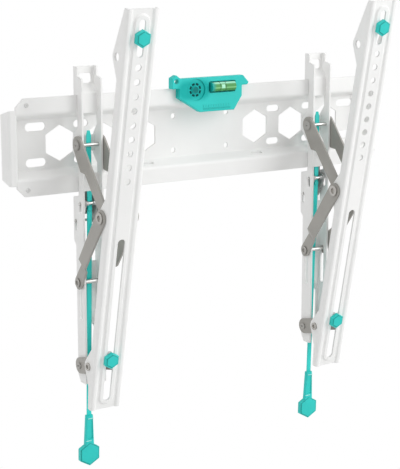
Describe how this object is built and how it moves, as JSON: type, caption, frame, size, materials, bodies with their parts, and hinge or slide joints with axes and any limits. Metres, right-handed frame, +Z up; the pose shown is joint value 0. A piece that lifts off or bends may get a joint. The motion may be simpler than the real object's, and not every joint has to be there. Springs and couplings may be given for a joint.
{
  "type": "tilting tv wall bracket",
  "caption": "White steel television wall bracket: a slotted wall plate, hooked uprights and long rails on folding tilt links, with teal thumb screws, pull straps and a clip-on spirit level.",
  "frame": {"origin": "centre of the wall plate's rear face, on the wall", "axes": "+X along the plate to the viewer's right, +Y into the wall, +Z up"},
  "size_m": [0.468, 0.1342, 0.4914],
  "materials": {
    "white_paint": "satin white powder coat",
    "link_grey": "satin taupe grey",
    "pin_steel": "bright plated",
    "dark_steel": "dark satin",
    "teal_plastic": "satin teal",
    "dark_plastic": "matt dark",
    "vial": "clear yellow green",
    "bubble": "pale"
  },
  "bodies": {
    "wall_plate": {"wall_plate": "white_paint", "level_body": "teal_plastic", "level_hub": "dark_plastic", "level_vial": "vial", "level_bubble": "bubble"},
    "left_upright": {"left_upright": "white_paint", "left_upper_pin": "pin_steel", "left_foot_pin": "pin_steel"},
    "left_upper_links": {"left_upper_links": "link_grey", "left_knee_rivets": "pin_steel"},
    "left_lower_links": {"left_lower_links": "link_grey", "left_slot_pin": "pin_steel"},
    "left_foot_links": {"left_foot_links": "link_grey"},
    "left_rail": {"left_rail": "white_paint", "left_foot_rivets": "pin_steel"},
    "left_release": {"left_latch": "dark_steel", "left_latch_pins": "pin_steel", "left_strip_rivet": "teal_plastic", "left_pull_strip": "teal_plastic", "left_pull_handle": "teal_plastic"},
    "left_top_nut": {"left_top_nut": "dark_plastic"},
    "left_top_knob": {"left_top_knob": "teal_plastic"},
    "left_low_nut": {"left_low_nut": "dark_plastic"},
    "left_low_knob": {"left_low_knob": "teal_plastic"},
    "right_upright": {"right_upright": "white_paint", "right_upper_pin": "pin_steel", "right_foot_pin": "pin_steel"},
    "right_upper_links": {"right_upper_links": "link_grey", "right_knee_rivets": "pin_steel"},
    "right_lower_links": {"right_lower_links": "link_grey", "right_slot_pin": "pin_steel"},
    "right_foot_links": {"right_foot_links": "link_grey"},
    "right_rail": {"right_rail": "white_paint", "right_foot_rivets": "pin_steel"},
    "right_release": {"right_latch": "dark_steel", "right_latch_pins": "pin_steel", "right_strip_rivet": "teal_plastic", "right_pull_strip": "teal_plastic", "right_pull_handle": "teal_plastic"},
    "right_top_nut": {"right_top_nut": "dark_plastic"},
    "right_top_knob": {"right_top_knob": "teal_plastic"},
    "right_low_nut": {"right_low_nut": "dark_plastic"},
    "right_low_knob": {"right_low_knob": "teal_plastic"}
  },
  "joints": [
    {"name": "left_upright_slide", "type": "slide", "parent": "wall_plate", "child": "left_upright", "axis": [1, 0, 0], "range_m": [-0.05, 0.06]},
    {"name": "left_tilt", "type": "hinge", "parent": "left_upright", "child": "left_upper_links", "pos_m": [-0.1456, -0.022, -0.0013], "axis": [1, 0, 0], "range_deg": [0, 24]},
    {"name": "left_lower_link_turn", "type": "hinge", "parent": "left_upper_links", "child": "left_lower_links", "pos_m": [-0.1456, -0.07749, -0.06674], "axis": [1, 0, 0], "range_deg": [-45, 0]},
    {"name": "left_rail_turn", "type": "hinge", "parent": "left_upper_links", "child": "left_rail", "pos_m": [-0.1456, -0.07749, -0.06674], "axis": [1, 0, 0], "range_deg": [-34, 0]},
    {"name": "left_foot_link_turn", "type": "hinge", "parent": "left_upright", "child": "left_foot_links", "pos_m": [-0.1456, -0.019, -0.234], "axis": [1, 0, 0], "range_deg": [0, 51]},
    {"name": "left_release_pull", "type": "slide", "parent": "left_upright", "child": "left_release", "axis": [0, 0, -1], "range_m": [0, 0.008], "stiffness_N_per_m": 800, "springref_m": -0.005},
    {"name": "left_top_nut_slide", "type": "slide", "parent": "left_rail", "child": "left_top_nut", "axis": [0, 0.2028, -0.9792], "range_m": [-0.012, 0.012]},
    {"name": "left_top_knob_turn", "type": "hinge", "parent": "left_top_nut", "child": "left_top_knob", "pos_m": [-0.1456, -0.12777, 0.1129], "axis": [0, -0.9792, -0.2028], "continuous": true},
    {"name": "left_low_nut_slide", "type": "slide", "parent": "left_rail", "child": "left_low_nut", "axis": [0, 0.2028, -0.9792], "range_m": [-0.12, 0.036]},
    {"name": "left_low_knob_turn", "type": "hinge", "parent": "left_low_nut", "child": "left_low_knob", "pos_m": [-0.1456, -0.05886, -0.21984], "axis": [0, -0.9792, -0.2028], "continuous": true},
    {"name": "right_upright_slide", "type": "slide", "parent": "wall_plate", "child": "right_upright", "axis": [1, 0, 0], "range_m": [-0.06, 0.05]},
    {"name": "right_tilt", "type": "hinge", "parent": "right_upright", "child": "right_upper_links", "pos_m": [0.1456, -0.022, -0.0013], "axis": [1, 0, 0], "range_deg": [0, 24]},
    {"name": "right_lower_link_turn", "type": "hinge", "parent": "right_upper_links", "child": "right_lower_links", "pos_m": [0.1456, -0.07749, -0.06674], "axis": [1, 0, 0], "range_deg": [-45, 0]},
    {"name": "right_rail_turn", "type": "hinge", "parent": "right_upper_links", "child": "right_rail", "pos_m": [0.1456, -0.07749, -0.06674], "axis": [1, 0, 0], "range_deg": [-34, 0]},
    {"name": "right_foot_link_turn", "type": "hinge", "parent": "right_upright", "child": "right_foot_links", "pos_m": [0.1456, -0.019, -0.234], "axis": [1, 0, 0], "range_deg": [0, 51]},
    {"name": "right_release_pull", "type": "slide", "parent": "right_upright", "child": "right_release", "axis": [0, 0, -1], "range_m": [0, 0.008], "stiffness_N_per_m": 800, "springref_m": -0.005},
    {"name": "right_top_nut_slide", "type": "slide", "parent": "right_rail", "child": "right_top_nut", "axis": [0, 0.2028, -0.9792], "range_m": [-0.012, 0.012]},
    {"name": "right_top_knob_turn", "type": "hinge", "parent": "right_top_nut", "child": "right_top_knob", "pos_m": [0.1456, -0.12777, 0.1129], "axis": [0, -0.9792, -0.2028], "continuous": true},
    {"name": "right_low_nut_slide", "type": "slide", "parent": "right_rail", "child": "right_low_nut", "axis": [0, 0.2028, -0.9792], "range_m": [-0.12, 0.036]},
    {"name": "right_low_knob_turn", "type": "hinge", "parent": "right_low_nut", "child": "right_low_knob", "pos_m": [0.1456, -0.05886, -0.21984], "axis": [0, -0.9792, -0.2028], "continuous": true}
  ],
  "couplings": [
    {"joint": "left_lower_link_turn", "follows": "left_tilt", "ratio": -1.8622},
    {"joint": "left_rail_turn", "follows": "left_tilt", "ratio": -1.4053},
    {"joint": "left_foot_link_turn", "follows": "left_tilt", "ratio": 2.1088},
    {"joint": "right_lower_link_turn", "follows": "right_tilt", "ratio": -1.8622},
    {"joint": "right_rail_turn", "follows": "right_tilt", "ratio": -1.4053},
    {"joint": "right_foot_link_turn", "follows": "right_tilt", "ratio": 2.1088}
  ]
}
